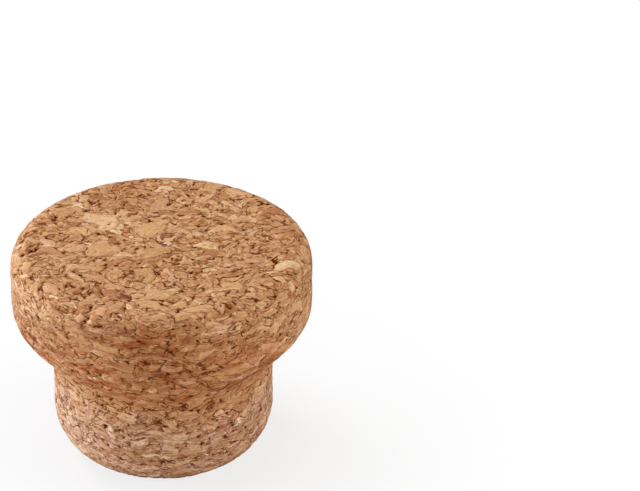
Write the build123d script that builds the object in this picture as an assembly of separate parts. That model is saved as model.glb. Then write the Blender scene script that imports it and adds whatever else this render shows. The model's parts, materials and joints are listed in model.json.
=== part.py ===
from build123d import *

import os
from math import acos, degrees, sin

# Cork stopper: one piece of pressed cork granules, turned to a flat round head on a short plug.
# Sizes are millimetres. The plug's end face is centred on the origin, and the head is up, along +Z.

# Head
head_diameter = 45.0
head_wall_height = 5.7      # straight side wall
head_top_round = 2.9        # between the side wall and the flat top

# Neck, an S from the plug's band out to the head's side wall, tangent to both
neck_height = 13.2
neck_lower_ease = 7.9       # how strongly the hollow holds to the line of the band
neck_upper_ease = 5.5       # how strongly the bullnose holds to the line of the side wall

# Plug
plug_diameter = 33.0
plug_band_height = 4.5      # straight band that seals in a jar or bottle mouth
plug_end_round = 8.0        # draws the end in below the band, to a blunt corner at the end face
plug_end_depth = 3.3        # how far in that corner lies from the band

# Radii and heights that follow from the sizes above
head_radius = head_diameter / 2
plug_radius = plug_diameter / 2
end_face_radius = plug_radius - plug_end_depth

# The end's round starts tangent to the band and turns until it is deep enough
end_turn = acos(1 - plug_end_depth / plug_end_round)

band_bottom = plug_end_round * sin(end_turn)
band_top = band_bottom + plug_band_height
wall_bottom = band_top + neck_height
wall_top = wall_bottom + head_wall_height
overall_height = wall_top + head_top_round


def half_section():
    """Half of the stopper's section, from the plug's end face up to the flat top of the head."""
    straight_up = (0, 1)
    straight_down = (0, -1)
    with BuildSketch(Plane.XZ) as section:
        with BuildLine():
            end_face = Line((0, 0), (end_face_radius, 0))
            band = Line((plug_radius, band_bottom), (plug_radius, band_top))
            JernArc(band @ 0, straight_down, plug_end_round, -degrees(end_turn))
            neck = Bezier(
                band @ 1,
                (plug_radius, band_top + neck_lower_ease),
                (head_radius, wall_bottom - neck_upper_ease),
                (head_radius, wall_bottom),
            )
            wall = Line(neck @ 1, (head_radius, wall_top))
            top_round = JernArc(wall @ 1, straight_up, head_top_round, 90)
            top = Line(top_round @ 1, (0, overall_height))
            Line(top @ 1, end_face @ 0)
        make_face()
    return section.sketch


cork_stopper = revolve(half_section(), axis=Axis.Z)
cork_stopper.label = "cork_stopper"

os.makedirs("parts", exist_ok=True)
export_step(cork_stopper, os.path.join("parts", "cork_stopper.step"))
print(f"height {overall_height:.3f} mm, end face radius {end_face_radius:.2f} mm,"
      f" band {band_bottom:.3f} to {band_top:.3f} mm, volume {cork_stopper.volume:.0f} mm3")
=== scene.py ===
import json
import math
from collections import namedtuple

import bpy
import numpy as np
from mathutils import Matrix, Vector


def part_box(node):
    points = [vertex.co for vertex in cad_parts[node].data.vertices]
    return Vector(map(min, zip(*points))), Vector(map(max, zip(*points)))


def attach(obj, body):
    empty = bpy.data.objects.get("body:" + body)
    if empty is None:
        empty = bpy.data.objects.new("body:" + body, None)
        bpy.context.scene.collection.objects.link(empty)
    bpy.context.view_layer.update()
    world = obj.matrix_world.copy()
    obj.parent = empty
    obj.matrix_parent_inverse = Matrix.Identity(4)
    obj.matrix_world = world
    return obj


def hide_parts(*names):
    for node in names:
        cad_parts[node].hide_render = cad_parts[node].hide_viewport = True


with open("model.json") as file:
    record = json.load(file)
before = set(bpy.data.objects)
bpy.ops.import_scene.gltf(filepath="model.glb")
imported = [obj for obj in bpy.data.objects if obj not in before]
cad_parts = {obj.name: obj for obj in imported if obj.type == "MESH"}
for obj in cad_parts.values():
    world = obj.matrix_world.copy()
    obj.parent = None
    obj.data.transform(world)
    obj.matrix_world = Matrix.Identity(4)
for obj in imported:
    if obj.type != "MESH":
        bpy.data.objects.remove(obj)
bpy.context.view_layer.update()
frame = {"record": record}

# Cork stopper turned from pressed granules. The form is worked out in millimetres and built in metres.
MILLIMETRE = 0.001

# What the frame says of the form
NODE = "cork_stopper"
lowest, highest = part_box(NODE)
mounts = {mount["name"]: mount for mount in frame["record"]["mounts"]}
band = mounts["plug_band"]
head_radius = (highest.x - lowest.x) / 2 / MILLIMETRE
overall_height = (highest.z - lowest.z) / MILLIMETRE
plug_radius = band["dims"]["r_mm"]
band_height = band["dims"]["length_mm"]
band_middle = band["pos_m"][2] / MILLIMETRE
band_bottom = band_middle - band_height / 2
band_top = band_middle + band_height / 2

# The rest of the turned section
head_wall_height = 5.7
head_top_round = 2.9
neck_lower_ease = 7.9
neck_upper_ease = 5.5
plug_end_round = 8.0
wall_top = overall_height - head_top_round
wall_bottom = wall_top - head_wall_height
middle_height = overall_height / 2


class Formula:
    """Writes formulas as nodes, alike in a material and in a geometry tree."""

    def __init__(self, tree):
        self.tree = tree

    def node(self, kind, *values, **settings):
        """A node with settings. Its inputs take the values in order: a socket is linked, and None skips."""
        made = self.tree.nodes.new(kind)
        for name, value in settings.items():
            setattr(made, name, value)
        inputs = [socket for socket in made.inputs if socket.enabled]
        for socket, value in zip(inputs, values):
            if isinstance(value, bpy.types.NodeSocket):
                self.tree.links.new(value, socket)
            elif value is not None:
                socket.default_value = value
        return made

    def math(self, operation, *values):
        return self.node("ShaderNodeMath", *values, operation=operation).outputs[0]

    def product(self, value, *others):
        for other in others:
            value = self.math("MULTIPLY", value, other)
        return value

    def vector(self, operation, *values):
        return self.node("ShaderNodeVectorMath", *values, operation=operation).outputs[0]

    def measure(self, operation, *values):
        """A number worked out from vectors."""
        return self.node("ShaderNodeVectorMath", *values, operation=operation).outputs["Value"]

    def apart(self, value):
        return self.node("ShaderNodeSeparateXYZ", value).outputs[:]

    def together(self, *values):
        return self.node("ShaderNodeCombineXYZ", *values).outputs[0]

    def mix(self, share, first, second, kind="FLOAT"):
        made = self.node("ShaderNodeMix", share, first, second, data_type=kind)
        return next(socket for socket in made.outputs if socket.enabled)

    def blend(self, share, colour, other):
        return self.mix(share, colour, other, "RGBA")

    def tint(self, share, colour, by):
        tinted = self.blend(share, colour, by)
        tinted.node.blend_type = "MULTIPLY"
        return tinted

    def ramp(self, value, shape):
        """A smooth step, whose shape is a pair of limits and the pair of results at these limits."""
        limits, results = shape
        made = self.node("ShaderNodeMapRange", value, *limits, *results, interpolation_type="SMOOTHSTEP")
        return made.outputs[0]

    def within(self, chance, limits):
        """A chance from 0 to 1, spread between two limits."""
        low, high = limits
        return self.math("MULTIPLY_ADD", chance, high - low, low)

    def noise(self, place, rate=1.0, detail=2.0):
        return self.node("ShaderNodeTexNoise", place, rate, detail).outputs[0]

    def wander(self, place, rate, detail):
        """A vector that wanders about zero."""
        made = self.node("ShaderNodeTexNoise", place, rate, detail)
        return self.vector("SUBTRACT", made.outputs["Color"], (0.5, 0.5, 0.5))

    def cell(self, spot, feature="F1"):
        """What is known of the nearest cell, or with F2 of the next one. Cells lie about a unit apart."""
        return self.node("ShaderNodeTexVoronoi", spot, 1.0, feature=feature).outputs


def paint(red, green, blue):
    """A colour as seen on a screen, 0 to 255, as the linear colour that a shader takes."""
    linear = []
    for channel in (red, green, blue):
        share = channel / 255
        linear.append(share / 12.92 if share <= 0.04045 else ((share + 0.055) / 1.055) ** 2.4)
    return linear + [1.0]


# Slivers fill the block, in bundles that lie one way. Sizes are in millimetres. A joint above or below a
# sliver has a share of the width of one beside it. Layers inside show in full.
BUNDLE_SIZE = (5.5, 5.5, 3.2)
SLIVER_SIZE = (4.4, 2.0, 0.70)
LEVEL_JOINT_SHARE = 0.5
SLIVER_LAYERED_SHARE = 1.0

# Whole ranges, in degrees: how granules are turned about the vertical, and how bundles are tilted
TURN = 130
BUNDLE_TILT = 46

# Larger flakes lie over them, in layers from small to large. Spacing is in millimetres, height_share is the
# height of a place against its width, empty_share is the share of places that hold no flake, tilt is a whole
# range in degrees, half_shares are a flake's half sizes against the spacing, shift is where the pattern
# starts, and layered_share is how strongly the layers inside a flake show.
FLAKE_LAYERS = [
    dict(spacing=2.2, height_share=0.44, empty_share=0.35, tilt=56,
         half_shares=(0.70, 0.32, 0.46), shift=3.1, layered_share=0.95),
    dict(spacing=3.2, height_share=0.40, empty_share=0.42, tilt=50,
         half_shares=(0.70, 0.32, 0.44), shift=17.7, layered_share=0.85),
    dict(spacing=4.4, height_share=0.36, empty_share=0.50, tilt=44,
         half_shares=(0.68, 0.30, 0.40), shift=41.3, layered_share=0.75),
    dict(spacing=6.4, height_share=0.32, empty_share=0.70, tilt=36,
         half_shares=(0.60, 0.28, 0.34), shift=67.9, layered_share=0.7),
]

# Ranges of each flake's own size, how pointed its ends are, and how much it bends
FLAKE_SIZE_SHARES = (0.5, 1.1)
FLAKE_POINT_SHARES = (0.58, 0.88)
FLAKE_BENDS = (-1.0, 1.0)

# How far apart the patterns inside two flakes may start, in millimetres
FLAKE_PATTERN_SHIFT = (50, 50, 50)

# Granules sway widely and are frayed finely: how fast, per millimetre, and how far, in millimetres
SWAY_RATE = 0.28
SWAY_REACH = (2.6, 2.6, 1.6)
FRAY_RATE = 1.2
FRAY_REACH = (0.45, 0.45, 0.30)

# Granules are up to 1.7 times as tall on the neck, where they are drawn out by this many millimetres in all
NECK_DRAW = 3.7
DRAW_BY_HEIGHT = (band_top, wall_bottom), (0.0, NECK_DRAW)

# What is known of the granule at a place: how deep inside it the place is, in millimetres, three chances of
# its own, the place along its own axes, and how strongly its layers show
Granule = namedtuple("Granule", "edge chances own_place layered")


def turned_own_way(f, offset, chances, tilt_range):
    """An offset turned by chance, by up to half of each range either way."""
    tilt = math.radians(tilt_range)
    turn = math.radians(TURN)
    angles = f.vector("MULTIPLY_ADD", chances, (tilt, tilt, turn), (-tilt / 2, -tilt / 2, -turn / 2))
    return f.node("ShaderNodeVectorRotate", offset, (0, 0, 0), angles, rotation_type="EULER_XYZ").outputs[0]


def slivers(f, place):
    """Slivers without gaps between them."""
    bundle = f.cell(f.vector("DIVIDE", place, BUNDLE_SIZE))
    turned = turned_own_way(f, place, bundle["Color"], BUNDLE_TILT)
    spot = f.vector("DIVIDE", turned, SLIVER_SIZE)
    own = f.cell(spot)
    beside = f.cell(spot, "F2")["Position"]

    # The joint is the plane halfway between a sliver's middle and the next one's
    apart = f.vector("SUBTRACT", beside, own["Position"])
    halfway = f.vector("SCALE", f.vector("ADD", beside, own["Position"]), 0.5)
    nearness = f.measure("DOT_PRODUCT", f.vector("SUBTRACT", halfway, spot), apart)
    length, width, height = SLIVER_SIZE
    steep = f.measure("LENGTH", f.vector("DIVIDE", apart, (length, width, height / LEVEL_JOINT_SHARE)))
    edge = f.math("DIVIDE", nearness, steep)
    chances = f.node("ShaderNodeTexWhiteNoise", own["Color"]).outputs["Color"]
    return Granule(edge, chances, turned, SLIVER_LAYERED_SHARE)


def flakes(f, place, layer):
    """One layer of flakes. Outside them, the depth is negative."""
    spacing = layer["spacing"]
    cell_size = (spacing, spacing, spacing * layer["height_share"])
    stretch = [1 / size for size in cell_size]
    spot = f.vector("MULTIPLY_ADD", place, stretch, [layer["shift"]] * 3)
    cell = f.cell(spot)
    offset = f.vector("SUBTRACT", spot, cell["Position"])
    along, across, up = f.apart(turned_own_way(f, offset, cell["Color"], layer["tilt"]))
    chance = f.node("ShaderNodeTexWhiteNoise", cell["Color"]).outputs
    bend_chance, point_chance = f.apart(chance["Color"])[:2]

    # Flakes are bent, and their ends are blunt or pointed
    bend = f.within(bend_chance, FLAKE_BENDS)
    across = f.math("MULTIPLY_ADD", f.product(along, along), bend, across)
    half_length, half_width, half_height = layer["half_shares"]
    reach_along = f.math("DIVIDE", f.math("ABSOLUTE", along), half_length)
    reach_across = f.math("DIVIDE", f.math("ABSOLUTE", across), half_width)
    reach_up = f.math("DIVIDE", f.math("ABSOLUTE", up), half_height)
    pointed = f.within(point_chance, FLAKE_POINT_SHARES)
    corner = f.product(f.math("ADD", reach_along, reach_across), pointed)

    # Some places hold no flake, and the others hold one of its own size
    empty_share = layer["empty_share"]
    held = f.math("GREATER_THAN", chance["Value"], empty_share)
    room = f.node("ShaderNodeMapRange", chance["Value"], empty_share, 1.0, *FLAKE_SIZE_SHARES, clamp=False)
    room = f.product(room.outputs[0], held)
    edge = f.product(f.math("SUBTRACT", room, reach_along), half_length * spacing)
    for reach, half in ((reach_across, half_width), (reach_up, half_height), (corner, half_width)):
        edge = f.math("MINIMUM", edge, f.product(f.math("SUBTRACT", room, reach), half * spacing))

    own_place = f.vector("SCALE", f.together(along, across, up), spacing)
    own_place = f.vector("MULTIPLY_ADD", chance["Color"], FLAKE_PATTERN_SHIFT, own_place)
    return Granule(edge, chance["Color"], own_place, layer["layered_share"])


def granules(f, place):
    """Granules of all sizes at a place given in millimetres, the larger over the smaller."""
    drawn_out = f.ramp(f.apart(place)[2], DRAW_BY_HEIGHT)
    place = f.vector("SUBTRACT", place, f.together(0.0, 0.0, drawn_out))
    sway = f.wander(place, SWAY_RATE, detail=0.0)
    fray = f.wander(place, FRAY_RATE, detail=1.0)
    place = f.vector("MULTIPLY_ADD", sway, SWAY_REACH, place)
    place = f.vector("MULTIPLY_ADD", fray, FRAY_REACH, place)
    seen = slivers(f, place)
    for layer in FLAKE_LAYERS:
        flake = flakes(f, place, layer)
        inside = f.math("GREATER_THAN", flake.edge, 0.0)
        seen = Granule(
            f.mix(inside, seen.edge, flake.edge),
            f.mix(inside, seen.chances, flake.chances, "VECTOR"),
            f.mix(inside, seen.own_place, flake.own_place, "VECTOR"),
            f.mix(inside, seen.layered, flake.layered),
        )
    return seen


# Pits where granules don't meet, and the stain round them, by a noise and by the distance from a granule's
# edge in millimetres. The noise is squat, and its rate is per millimetre.
PIT_STRETCH = (1.0, 1.0, 1.6)
PIT_RATE = 1.15
PIT = dict(by_noise=((0.62, 0.67), (0.0, 1.0)), by_edge=((0.05, 0.30), (1.0, 0.0)))
PIT_STAIN = dict(by_noise=((0.56, 0.65), (0.0, 1.0)), by_edge=((0.10, 0.45), (1.0, 0.0)))

# How deep the relief is sunk, in millimetres: whole granules at most, joints by the distance from them, and
# pits. It is then smoothed by a share of what lies next to each point.
GRANULE_SINK = 0.08
JOINT_SINK = 0.12
JOINT_BY_EDGE = (0.0, 0.35), (1.0, 0.0)
PIT_SINK = 0.45
SMOOTH_STEPS = 1
SMOOTH_SHARE = 0.7


def pits(f, place, edge, by_noise, by_edge):
    """Pits, or the stain round them."""
    noise = f.noise(f.vector("MULTIPLY", place, PIT_STRETCH), PIT_RATE, detail=1.0)
    return f.product(f.ramp(noise, by_noise), f.ramp(edge, by_edge))


def relief_tree():
    """Geometry nodes that sink joints and pits into the turned surface and keep each point's place before."""
    tree = bpy.data.node_groups.new("cork_relief", "GeometryNodeTree")
    tree.interface.new_socket("Geometry", in_out="INPUT", socket_type="NodeSocketGeometry")
    tree.interface.new_socket("Geometry", in_out="OUTPUT", socket_type="NodeSocketGeometry")
    f = Formula(tree)
    source = f.node("NodeGroupInput").outputs[0]
    position = f.node("GeometryNodeInputPosition").outputs[0]
    normal = f.node("GeometryNodeInputNormal").outputs[0]
    place = f.vector("SCALE", position, 1 / MILLIMETRE)
    granule = granules(f, place)
    sunk = f.product(f.apart(granule.chances)[2], GRANULE_SINK)
    sunk = f.math("MULTIPLY_ADD", f.ramp(granule.edge, JOINT_BY_EDGE), JOINT_SINK, sunk)
    sunk = f.math("MULTIPLY_ADD", pits(f, place, granule.edge, **PIT), PIT_SINK, sunk)
    smooth = f.node("GeometryNodeBlurAttribute", sunk, SMOOTH_STEPS, SMOOTH_SHARE).outputs[0]
    offset = f.vector("SCALE", normal, f.product(smooth, -MILLIMETRE))
    kept = f.node("GeometryNodeStoreNamedAttribute", source, None, "rest", position, data_type="FLOAT_VECTOR")
    moved = f.node("GeometryNodeSetPosition", kept.outputs[0], None, None, offset)
    f.node("NodeGroupOutput", moved.outputs[0])
    return tree


# Layers inside a granule: how fast they change along its own axes, per millimetre, how many there are in a
# swell, by how many the count may start apart in two granules, and how much a layer's tone counts
LAYER_STRETCH = (0.20, 0.95, 0.75)
LAYERS_IN_SWELL = 5.0
LAYER_SHIFT = 10.0
LAYER_TONE_SHARE = 0.55

# Dark lines between layers: by the distance as a share of a layer, and by where joints and lines are strong
LINE_BY_DISTANCE = (0.03, 0.20), (1.0, 0.0)
LINE_BY_STRENGTH = (0.38, 0.55), (0.0, 1.0)
LINE_COLOUR = paint(120, 66, 30)
LINE_COLOUR_SHARE = 0.5

# Colours of granules by tone, from dark to light
MIDDLE_TONE = 0.5
GRANULE_COLOURS = [
    (0.00, paint(164, 105, 62)),
    (0.22, paint(186, 132, 87)),
    (0.55, paint(201, 151, 107)),
    (0.80, paint(216, 170, 126)),
    (1.00, paint(234, 199, 158)),
]

# Granules are a little yellower or pinker, and some are redder, by a chance of their own
YELLOWER_TINT = paint(255, 255, 242)
PINKER_TINT = paint(255, 249, 254)
REDDER_COLOUR = paint(174, 104, 60)
REDDER_BY_CHANCE = (0.86, 0.99), (0.0, 0.40)

# A few are bits of bark, mostly small ones, and darkest in dark layers and between fibres
BARK_COLOUR = paint(108, 54, 32)
BARK_BY_CHANCE = (0.955, 0.965), (0.0, 0.9)
BARK_BY_TONE = (0.2, 0.8), (1.0, 0.2)
BARK_BY_LAYERED = (0.86, 0.94), (0.3, 1.0)
BARK_BY_FIBRE = (0.35, 0.65), (1.0, 0.4)

# Mottling, and fibres along a granule: how fast they change, per millimetre, and how they lighten or darken
MOTTLE_RATE = 2.2
LIGHT_BY_MOTTLE = (0.3, 0.7), (0.91, 1.09)
FIBRE_STRETCH = (0.25, 3.2, 2.0)
LIGHT_BY_FIBRE = (0.3, 0.7), (0.90, 1.08)

# Painted highlights: light rims along some granules, in millimetres from the edge, and a noise that picks
# them, per millimetre
PAINTED_HIGHLIGHT_COLOUR = paint(236, 196, 156)
PAINTED_HIGHLIGHT_START = (0.08, 0.16), (0.0, 1.0)
PAINTED_HIGHLIGHT_END = (0.18, 0.36), (1.0, 0.0)
PAINTED_HIGHLIGHT_RATE = 1.1
PAINTED_HIGHLIGHT_BY_NOISE = (0.42, 0.60), (0.0, 0.55)

# Whole patches are redder and darker, in streaks along the stopper's axes, and less so on the flat top:
# partly the cork's own colour and partly painted warm shade. The shift puts such a patch, with its painted
# shade, on the front of the head and the neck. Rates are per millimetre.
RED_AND_WARM_SHADE_TINT = (0.71, 0.46, 0.34, 1)
PATCH_SHIFT = (-60, -187, 139)
PATCH_RATE = 0.06
RED_BY_PATCH = (0.50, 0.70), (0.0, 1.0)
RED_BY_HEIGHT = (wall_top, overall_height), (1.0, 0.4)
STREAK_STRETCH = (0.32, 0.32, 0.85)
RED_BY_STREAK = (0.35, 0.70), (0.20, 1.0)

# Painted bounce light from the floor: the plug is painted paler and pinker than the neck. A slow noise lowers
# the height, in millimetres, where that ends.
PAINTED_BOUNCE_LIGHT_TINT = (1.08, 1.18, 1.46, 1)
PAINTED_BOUNCE_LIGHT_BY_HEIGHT = (band_top + 4.5, band_top + 8.5), (1.0, 0.0)
UNEVEN_RATE = 0.16
UNEVEN_HEIGHT = 12.0

# Joints, by a noise of their strength: two parts of their width, in millimetres, and two of their darkness
JOINT_COLOUR = paint(92, 34, 5)
STRENGTH_RATE = 1.0
WIDTH_BY_STRENGTH = (0.40, 0.58), (0.08, 0.15)
MORE_WIDTH_BY_STRENGTH = (0.56, 0.68), (0.0, 0.20)
DARK_BY_STRENGTH = (0.36, 0.50), (0.20, 0.57)
MORE_DARK_BY_STRENGTH = (0.52, 0.64), (0.0, 0.40)

# Joints are darker on the flat ends and in places where they gather, and painted shade darkens them in the
# hollow of the neck. Heights are in millimetres, and the first are counted from the middle, up or down.
DARK_BY_HEIGHT = (middle_height - 1.6, middle_height), (0.80, 1.0)
GATHER_RATE = 0.22
DARK_BY_GATHER = (0.36, 0.62), (0.72, 1.12)
HOLLOW_FROM = (band_top - 1.0, band_top + 4.0), (0.0, 1.0)
HOLLOW_TO = (band_top + 7.0, band_top + 12.0), (1.0, 0.0)
HOLLOW_SHADE_SHARE = 0.55

# Stain beside joints, by the distance in millimetres, and round pits
STAIN_TINT = (0.72, 0.50, 0.29, 1)
STAIN_BY_EDGE = (0.0, 0.32), (0.90, 0.0)
PIT_STAIN_SHARE = 0.9
PIT_COLOUR = paint(72, 24, 5)
PIT_COLOUR_SHARE = 0.92

# Fine relief, in millimetres: grain, the rounding of granules, lower in red patches with their painted warm
# shade, and lines and layers
GRAIN_RATE = 5.0
GRAIN_HEIGHT = 0.03
ROUNDING_BY_EDGE = (0.0, 0.22), (0.0, 0.09)
ROUNDING_BY_RED = (0.0, 1.0), (1.0, 0.6)
LINE_HEIGHT = -0.06
LAYER_HEIGHT = 0.08
FINE_RELIEF_SHARE = 0.8

# Cork is nearly matt, and a little less so where it is light
ROUGHNESS_BY_TONE = (0.0, 1.0), (0.88, 0.74)
SHINE = 0.05


def colour_ramp(f, value, stops):
    """Colours by value, from stops of a value and its colour, the first at 0 and the last at 1."""
    made = f.node("ShaderNodeValToRGB", value)
    elements = made.color_ramp.elements
    for at, _ in stops[1:-1]:
        elements.new(at)
    for element, (_, colour) in zip(elements, stops):
        element.color = colour
    return made.outputs[0]


def inner_layers(f, granule):
    """Layers inside a granule, long in its own direction: the tone of each, and the distance to the next."""
    warmth, own = f.apart(granule.chances)[1:]
    swell = f.noise(f.vector("MULTIPLY", granule.own_place, LAYER_STRETCH))
    count = f.math("MULTIPLY_ADD", swell, LAYERS_IN_SWELL, f.product(own, LAYER_SHIFT))
    which = f.together(f.math("FLOOR", count), own, warmth)
    layer_tone = f.node("ShaderNodeTexWhiteNoise", which).outputs["Value"]
    past = f.math("FRACT", count)
    to_line = f.math("MINIMUM", past, f.math("SUBTRACT", 1.0, past))
    return layer_tone, to_line


def granule_colour(f, place, granule, tone, layer_tone):
    """Each granule's own colour."""
    warmth = f.apart(granule.chances)[1]
    colour = colour_ramp(f, tone, GRANULE_COLOURS)
    colour = f.tint(1.0, colour, f.blend(warmth, YELLOWER_TINT, PINKER_TINT))
    colour = f.blend(f.ramp(warmth, REDDER_BY_CHANCE), colour, REDDER_COLOUR)

    fibre = f.noise(f.vector("MULTIPLY", granule.own_place, FIBRE_STRETCH), detail=1.0)
    bark = f.product(
        f.ramp(warmth, BARK_BY_CHANCE),
        f.ramp(layer_tone, BARK_BY_TONE),
        f.ramp(granule.layered, BARK_BY_LAYERED),
        f.ramp(fibre, BARK_BY_FIBRE),
    )
    colour = f.blend(bark, colour, BARK_COLOUR)

    mottle = f.noise(place, MOTTLE_RATE, detail=3.0)
    light = f.product(f.ramp(mottle, LIGHT_BY_MOTTLE), f.ramp(fibre, LIGHT_BY_FIBRE))
    colour = f.tint(1.0, colour, f.together(light, light, light))

    # Painted highlights: light rims along some granule edges
    some = f.ramp(f.noise(place, PAINTED_HIGHLIGHT_RATE, detail=1.0), PAINTED_HIGHLIGHT_BY_NOISE)
    rim = f.product(f.ramp(granule.edge, PAINTED_HIGHLIGHT_START), f.ramp(granule.edge, PAINTED_HIGHLIGHT_END), some)
    return f.blend(rim, colour, PAINTED_HIGHLIGHT_COLOUR)


def red_patches_and_warm_shade(f, place, up):
    """How red a place is, from 0 to 1, with red patches that are partly painted warm shade."""
    patch = f.noise(f.vector("ADD", place, PATCH_SHIFT), PATCH_RATE, detail=1.0)
    return f.product(f.ramp(patch, RED_BY_PATCH), f.ramp(up, RED_BY_HEIGHT))


def patches_and_bounce_light_colour(f, colour, place, up, red):
    """A colour with the red streaks of whole patches, partly painted warm shade, and the painted bounce light
    that makes the plug paler.
    """
    streak = f.noise(f.vector("MULTIPLY", place, STREAK_STRETCH))
    # Red streaks, partly painted warm shade on the front of the head and the neck
    colour = f.tint(f.product(red, f.ramp(streak, RED_BY_STREAK)), colour, RED_AND_WARM_SHADE_TINT)
    # Painted bounce light: the plug is paler and pinker below an uneven height
    uneven = f.math("MULTIPLY_ADD", f.noise(place, UNEVEN_RATE), UNEVEN_HEIGHT, up)
    return f.tint(f.ramp(uneven, PAINTED_BOUNCE_LIGHT_BY_HEIGHT), colour, PAINTED_BOUNCE_LIGHT_TINT)


def joint_colour(f, colour, place, up, edge, strength):
    """A colour with joints that widen and vanish, the stain beside them, and pits."""
    width = f.math("ADD", f.ramp(strength, WIDTH_BY_STRENGTH), f.ramp(strength, MORE_WIDTH_BY_STRENGTH))
    joint = f.ramp(edge, ((0.0, width), (1.0, 0.0)))
    from_middle = f.math("ABSOLUTE", f.math("SUBTRACT", up, middle_height))
    gathered = f.noise(place, GATHER_RATE, detail=1.0)
    # Painted shade in the hollow of the neck, under the head
    hollow = f.product(f.ramp(up, HOLLOW_FROM), f.ramp(up, HOLLOW_TO))
    dark = f.product(
        f.math("ADD", f.ramp(strength, DARK_BY_STRENGTH), f.ramp(strength, MORE_DARK_BY_STRENGTH)),
        f.ramp(from_middle, DARK_BY_HEIGHT),
        f.ramp(gathered, DARK_BY_GATHER),
        f.math("MULTIPLY_ADD", hollow, HOLLOW_SHADE_SHARE, 1.0),
    )
    stain = f.product(f.ramp(edge, STAIN_BY_EDGE), dark)
    pit_stain = f.product(pits(f, place, edge, **PIT_STAIN), PIT_STAIN_SHARE)
    pit = f.product(pits(f, place, edge, **PIT), PIT_COLOUR_SHARE)
    colour = f.tint(f.math("MAXIMUM", stain, pit_stain), colour, STAIN_TINT)
    colour = f.blend(f.product(joint, dark), colour, JOINT_COLOUR)
    return f.blend(pit, colour, PIT_COLOUR)


def cork_material():
    material = bpy.data.materials.new("pressed_cork")
    material.use_nodes = True
    tree = material.node_tree
    f = Formula(tree)
    rest = f.node("ShaderNodeAttribute", attribute_name="rest").outputs["Vector"]
    place = f.vector("SCALE", rest, 1 / MILLIMETRE)
    up = f.apart(place)[2]
    granule = granules(f, place)
    strength = f.noise(place, STRENGTH_RATE)
    # Red patches, partly the cork's own colour and partly painted warm shade
    red = red_patches_and_warm_shade(f, place, up)

    layer_tone, to_line = inner_layers(f, granule)
    line = f.product(f.ramp(to_line, LINE_BY_DISTANCE), f.ramp(strength, LINE_BY_STRENGTH), granule.layered)
    tone = f.mix(granule.layered, MIDDLE_TONE, f.apart(granule.chances)[0])
    tone = f.mix(f.product(granule.layered, LAYER_TONE_SHARE), tone, layer_tone)

    colour = granule_colour(f, place, granule, tone, layer_tone)
    colour = patches_and_bounce_light_colour(f, colour, place, up, red)
    colour = f.blend(f.product(line, LINE_COLOUR_SHARE), colour, LINE_COLOUR)
    colour = joint_colour(f, colour, place, up, granule.edge, strength)

    rounding = f.product(f.ramp(granule.edge, ROUNDING_BY_EDGE), f.ramp(red, ROUNDING_BY_RED))
    height = f.math("MULTIPLY_ADD", f.noise(place, GRAIN_RATE, detail=3.0), GRAIN_HEIGHT, rounding)
    height = f.math("MULTIPLY_ADD", line, LINE_HEIGHT, height)
    height = f.math("MULTIPLY_ADD", f.product(layer_tone, granule.layered), LAYER_HEIGHT, height)
    bump = f.node("ShaderNodeBump")
    bump.inputs["Strength"].default_value = FINE_RELIEF_SHARE
    bump.inputs["Distance"].default_value = MILLIMETRE
    tree.links.new(height, bump.inputs["Height"])

    shader = tree.nodes["Principled BSDF"].inputs
    tree.links.new(colour, shader["Base Color"])
    tree.links.new(bump.outputs[0], shader["Normal"])
    tree.links.new(f.ramp(tone, ROUGHNESS_BY_TONE), shader["Roughness"])
    shader["Specular IOR Level"].default_value = SHINE
    return material


# Mesh: four-sided cells of one size, in rings on the side and in a grid on the two flat ends
CELLS_ACROSS_END = 124
CELLS_AROUND = 4 * CELLS_ACROSS_END
RINGS = 138
CURVE_STEPS = 400

# Turns in radians. The corners of the grid lie an eighth of a turn from the axes.
EIGHTH_TURN = math.pi / 4
QUARTER_TURN = math.pi / 2
WHOLE_TURN = 2 * math.pi

# Flat map of the surface: the side in two halves, one above the other, and the two ends beside them
SIDE_SHARE = 0.6
GAP_SHARE = 0.006


def section():
    """The turned section, from the rim of the end face to the rim of the flat top: radii and heights."""
    share = np.linspace(0, 1, CURVE_STEPS)

    angle = math.asin(band_bottom / plug_end_round) * (share - 1)
    end_radii = plug_radius - plug_end_round * (1 - np.cos(angle))
    end_heights = band_bottom + plug_end_round * np.sin(angle)

    band_radii = np.full(CURVE_STEPS, plug_radius)
    band_heights = band_bottom + band_height * share

    weights = [(1 - share) ** 3, 3 * (1 - share) ** 2 * share, 3 * (1 - share) * share ** 2, share ** 3]
    control_radii = (plug_radius, plug_radius, head_radius, head_radius)
    control_heights = (band_top, band_top + neck_lower_ease, wall_bottom - neck_upper_ease, wall_bottom)
    neck_radii = sum(weight * radius for weight, radius in zip(weights, control_radii))
    neck_heights = sum(weight * height for weight, height in zip(weights, control_heights))

    wall_radii = np.full(CURVE_STEPS, head_radius)
    wall_heights = wall_bottom + head_wall_height * share

    angle = QUARTER_TURN * share
    top_radii = head_radius - head_top_round * (1 - np.cos(angle))
    top_heights = wall_top + head_top_round * np.sin(angle)

    # Points at even distances along the whole line
    radii = np.concatenate([end_radii, band_radii, neck_radii, wall_radii, top_radii])
    heights = np.concatenate([end_heights, band_heights, neck_heights, wall_heights, top_heights])
    length = np.concatenate([[0], np.cumsum(np.hypot(np.diff(radii), np.diff(heights)))])
    even = np.linspace(0, length[-1], RINGS + 1)
    return np.interp(even, length, radii), np.interp(even, length, heights)


def disc_grid():
    """A square grid laid out on a disc of radius 1, with its outer points evenly spaced round the rim."""
    steps = np.linspace(-1, 1, CELLS_ACROSS_END + 1)
    across, along = np.meshgrid(steps, steps, indexing="ij")
    wide = np.abs(across) >= np.abs(along)
    radius = np.where(wide, across, along)
    safe = np.where(radius == 0, 1, radius)
    angle = np.where(wide, EIGHTH_TURN * along / safe, QUARTER_TURN - EIGHTH_TURN * across / safe)
    return radius * np.cos(angle), radius * np.sin(angle)


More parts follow.
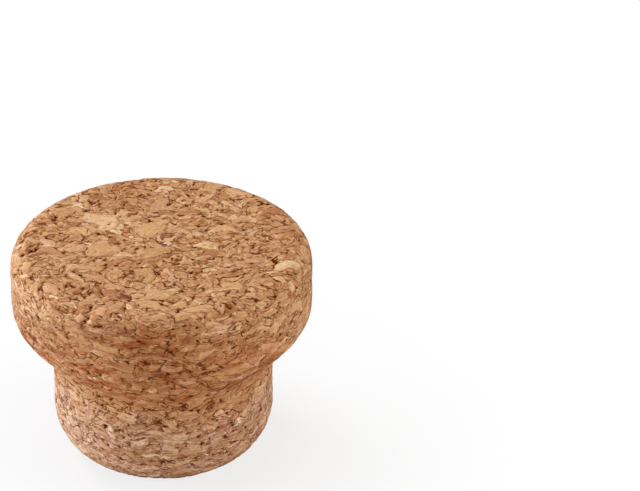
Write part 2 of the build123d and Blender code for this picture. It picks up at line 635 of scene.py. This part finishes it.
def cells(grid):
    """The four corners of each cell of a grid, in order round the cell."""
    return np.stack([grid[:-1, :-1], grid[1:, :-1], grid[1:, 1:], grid[:-1, 1:]], -1).reshape(-1, 4)


def stopper_mesh():
    """The stopper as one closed mesh of even four-sided cells."""
    radii, heights = section()
    angles = WHOLE_TURN * np.arange(CELLS_AROUND) / CELLS_AROUND - EIGHTH_TURN
    rings = np.stack([
        radii[:, None] * np.cos(angles),
        radii[:, None] * np.sin(angles),
        np.repeat(heights[:, None], CELLS_AROUND, axis=1),
    ], axis=-1)
    points = [rings.reshape(-1, 3)]

    # Each panel is a grid: the numbers of its points, and their places on the map
    panels = []
    half_turn = CELLS_AROUND // 2
    for half in (0, 1):
        columns = half * half_turn + np.arange(half_turn + 1)[:, None]
        numbers = columns % CELLS_AROUND + CELLS_AROUND * np.arange(RINGS + 1)
        map_x = np.linspace(GAP_SHARE, SIDE_SHARE - GAP_SHARE, half_turn + 1)[:, None]
        map_y = half / 2 + np.linspace(GAP_SHARE, 1 / 2 - GAP_SHARE, RINGS + 1)
        panels.append((numbers, *np.broadcast_arrays(map_x, map_y)))

    # The two flat ends share their rims with the first and the last ring
    disc_x, disc_y = disc_grid()
    inside = np.zeros(disc_x.shape, bool)
    inside[1:-1, 1:-1] = True
    turn_share = (np.arctan2(disc_y, disc_x) + EIGHTH_TURN) / WHOLE_TURN
    rim_place = np.rint(turn_share * CELLS_AROUND).astype(int) % CELLS_AROUND
    count = len(points[0])
    map_radius = (1 - SIDE_SHARE) / 2 - GAP_SHARE
    for half, row in ((0, 0), (1, RINGS)):
        numbers = rim_place + row * CELLS_AROUND
        numbers[inside] = count + np.arange(inside.sum())
        points.append(np.stack([
            radii[row] * disc_x[inside],
            radii[row] * disc_y[inside],
            np.full(inside.sum(), heights[row]),
        ], axis=-1))
        count += inside.sum()
        faces_down = row == 0
        map_x = (1 + SIDE_SHARE) / 2 + map_radius * disc_x
        map_y = 1 / 4 + half / 2 + map_radius * disc_y
        panels.append((numbers[::-1] if faces_down else numbers, map_x, map_y))

    faces, map_x, map_y = (np.concatenate([cells(grid) for grid in grids]) for grids in zip(*panels))
    mesh = bpy.data.meshes.new("stopper")
    mesh.from_pydata((np.concatenate(points) * MILLIMETRE).tolist(), [], faces.tolist())
    mesh.shade_smooth()
    mesh.uv_layers.new(name="OFBake").data.foreach_set("uv", np.stack([map_x, map_y], -1).ravel())
    return mesh


def build_stopper():
    stopper = bpy.data.objects.new("stopper", stopper_mesh())
    bpy.context.scene.collection.objects.link(stopper)
    carve = stopper.modifiers.new("relief", "NODES")
    carve.node_group = relief_tree()
    bpy.context.view_layer.update()
    carved = bpy.data.meshes.new_from_object(stopper.evaluated_get(bpy.context.evaluated_depsgraph_get()))
    stopper.modifiers.clear()
    stopper.data = carved
    carved.materials.clear()
    carved.materials.append(cork_material())
    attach(stopper, "root")
    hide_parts(NODE)


# Surroundings, in metres: a plain floor, whose shadow shows close to the stopper, and a dim white world
WHITE = (1, 1, 1, 1)
FLOOR_COLOUR = (0.8, 0.8, 0.8, 1)
FLOOR_HALF_WIDTH = 4.0
WHITE_BY_DISTANCE = (0.015, 0.06), (0.78, 1.0)
WORLD_STRENGTH = 0.12

# Soft boxes, which face the stopper: place, width and depth in metres, power in watts, and tint
LAMPS = [
    ("key", (-0.45, 0.45, 0.55), 0.30, 0.30, 3.4, (1.0, 0.99, 0.97)),
    ("overhead", (0.05, 0.0, 0.80), 0.50, 0.50, 2.25, (1.0, 0.98, 0.95)),
    ("left", (-0.72, 0.08, 0.18), 0.35, 0.30, 5.2, (0.86, 1.03, 1.38)),
    ("right", (0.75, 0.0, 0.22), 0.35, 0.35, 3.2, (0.98, 1.0, 1.08)),
    ("front", (-0.10, -0.85, 0.20), 0.50, 0.30, 2.15, (1.0, 0.78, 0.56)),
]

# Camera: place and far limit in metres, focal length in millimetres, and degrees below the level
CAMERA_PLACE = (0.023583, -0.666995, 0.420872)
CAMERA_FAR = 20
CAMERA_LENS = 292.5
CAMERA_DOWN = 30.2


def white_for_sight(f, surface, share):
    """White to the camera and in reflections, and the surface's own shader to all other light."""
    path = f.node("ShaderNodeLightPath").outputs
    reflected = f.math("MAXIMUM", path["Is Glossy Ray"], path["Is Transmission Ray"])
    seen = f.math("MAXIMUM", path["Is Camera Ray"], reflected)
    glow = f.node("ShaderNodeEmission", WHITE, 1.0).outputs[0]
    return f.node("ShaderNodeMixShader", f.product(seen, share), surface, glow).outputs[0]


def build_floor():
    far = FLOOR_HALF_WIDTH
    corners = [(-far, -far, 0), (far, -far, 0), (far, far, 0), (-far, far, 0)]
    mesh = bpy.data.meshes.new("floor")
    mesh.from_pydata(corners, [], [(0, 1, 2, 3)])
    floor = bpy.data.objects.new("floor", mesh)
    bpy.context.scene.collection.objects.link(floor)
    material = bpy.data.materials.new("white_floor")
    material.use_nodes = True
    tree = material.node_tree
    tree.nodes.remove(tree.nodes["Principled BSDF"])
    f = Formula(tree)
    matt = f.node("ShaderNodeBsdfDiffuse", FLOOR_COLOUR).outputs[0]
    distance = f.measure("LENGTH", f.node("ShaderNodeTexCoord").outputs["Object"])
    surface = white_for_sight(f, matt, f.ramp(distance, WHITE_BY_DISTANCE))
    tree.links.new(surface, tree.nodes["Material Output"].inputs[0])
    mesh.materials.append(material)


def build_world():
    world = bpy.data.worlds.new("studio")
    world.use_nodes = True
    tree = world.node_tree
    f = Formula(tree)
    dim = tree.nodes["Background"]
    dim.inputs["Color"].default_value = WHITE
    dim.inputs["Strength"].default_value = WORLD_STRENGTH
    path = f.node("ShaderNodeLightPath").outputs
    white = f.node("ShaderNodeBackground", WHITE, 1.0).outputs[0]
    both = f.node("ShaderNodeMixShader", path["Is Camera Ray"], dim.outputs[0], white).outputs[0]
    tree.links.new(both, tree.nodes["World Output"].inputs[0])
    bpy.context.scene.world = world


def build_lamps():
    middle = Vector((0, 0, middle_height * MILLIMETRE))
    for name, place, width, depth, power, tint in LAMPS:
        light = bpy.data.lights.new(name, "AREA")
        light.shape = "RECTANGLE"
        light.size = width
        light.size_y = depth
        light.energy = power
        light.color = tint
        lamp = bpy.data.objects.new(name, light)
        lamp.location = place
        lamp.rotation_euler = (middle - lamp.location).to_track_quat("-Z", "Y").to_euler()
        bpy.context.scene.collection.objects.link(lamp)


def build_camera():
    camera = bpy.data.cameras.new("camera")
    camera.lens = CAMERA_LENS
    camera.clip_end = CAMERA_FAR
    eye = bpy.data.objects.new("camera", camera)
    eye.location = CAMERA_PLACE
    eye.rotation_euler = (math.radians(90 - CAMERA_DOWN), 0, 0)
    bpy.context.scene.collection.objects.link(eye)
    bpy.context.scene.camera = eye


build_stopper()
build_floor()
build_world()
build_lamps()
build_camera()
bpy.context.scene.view_settings.view_transform = "Standard"
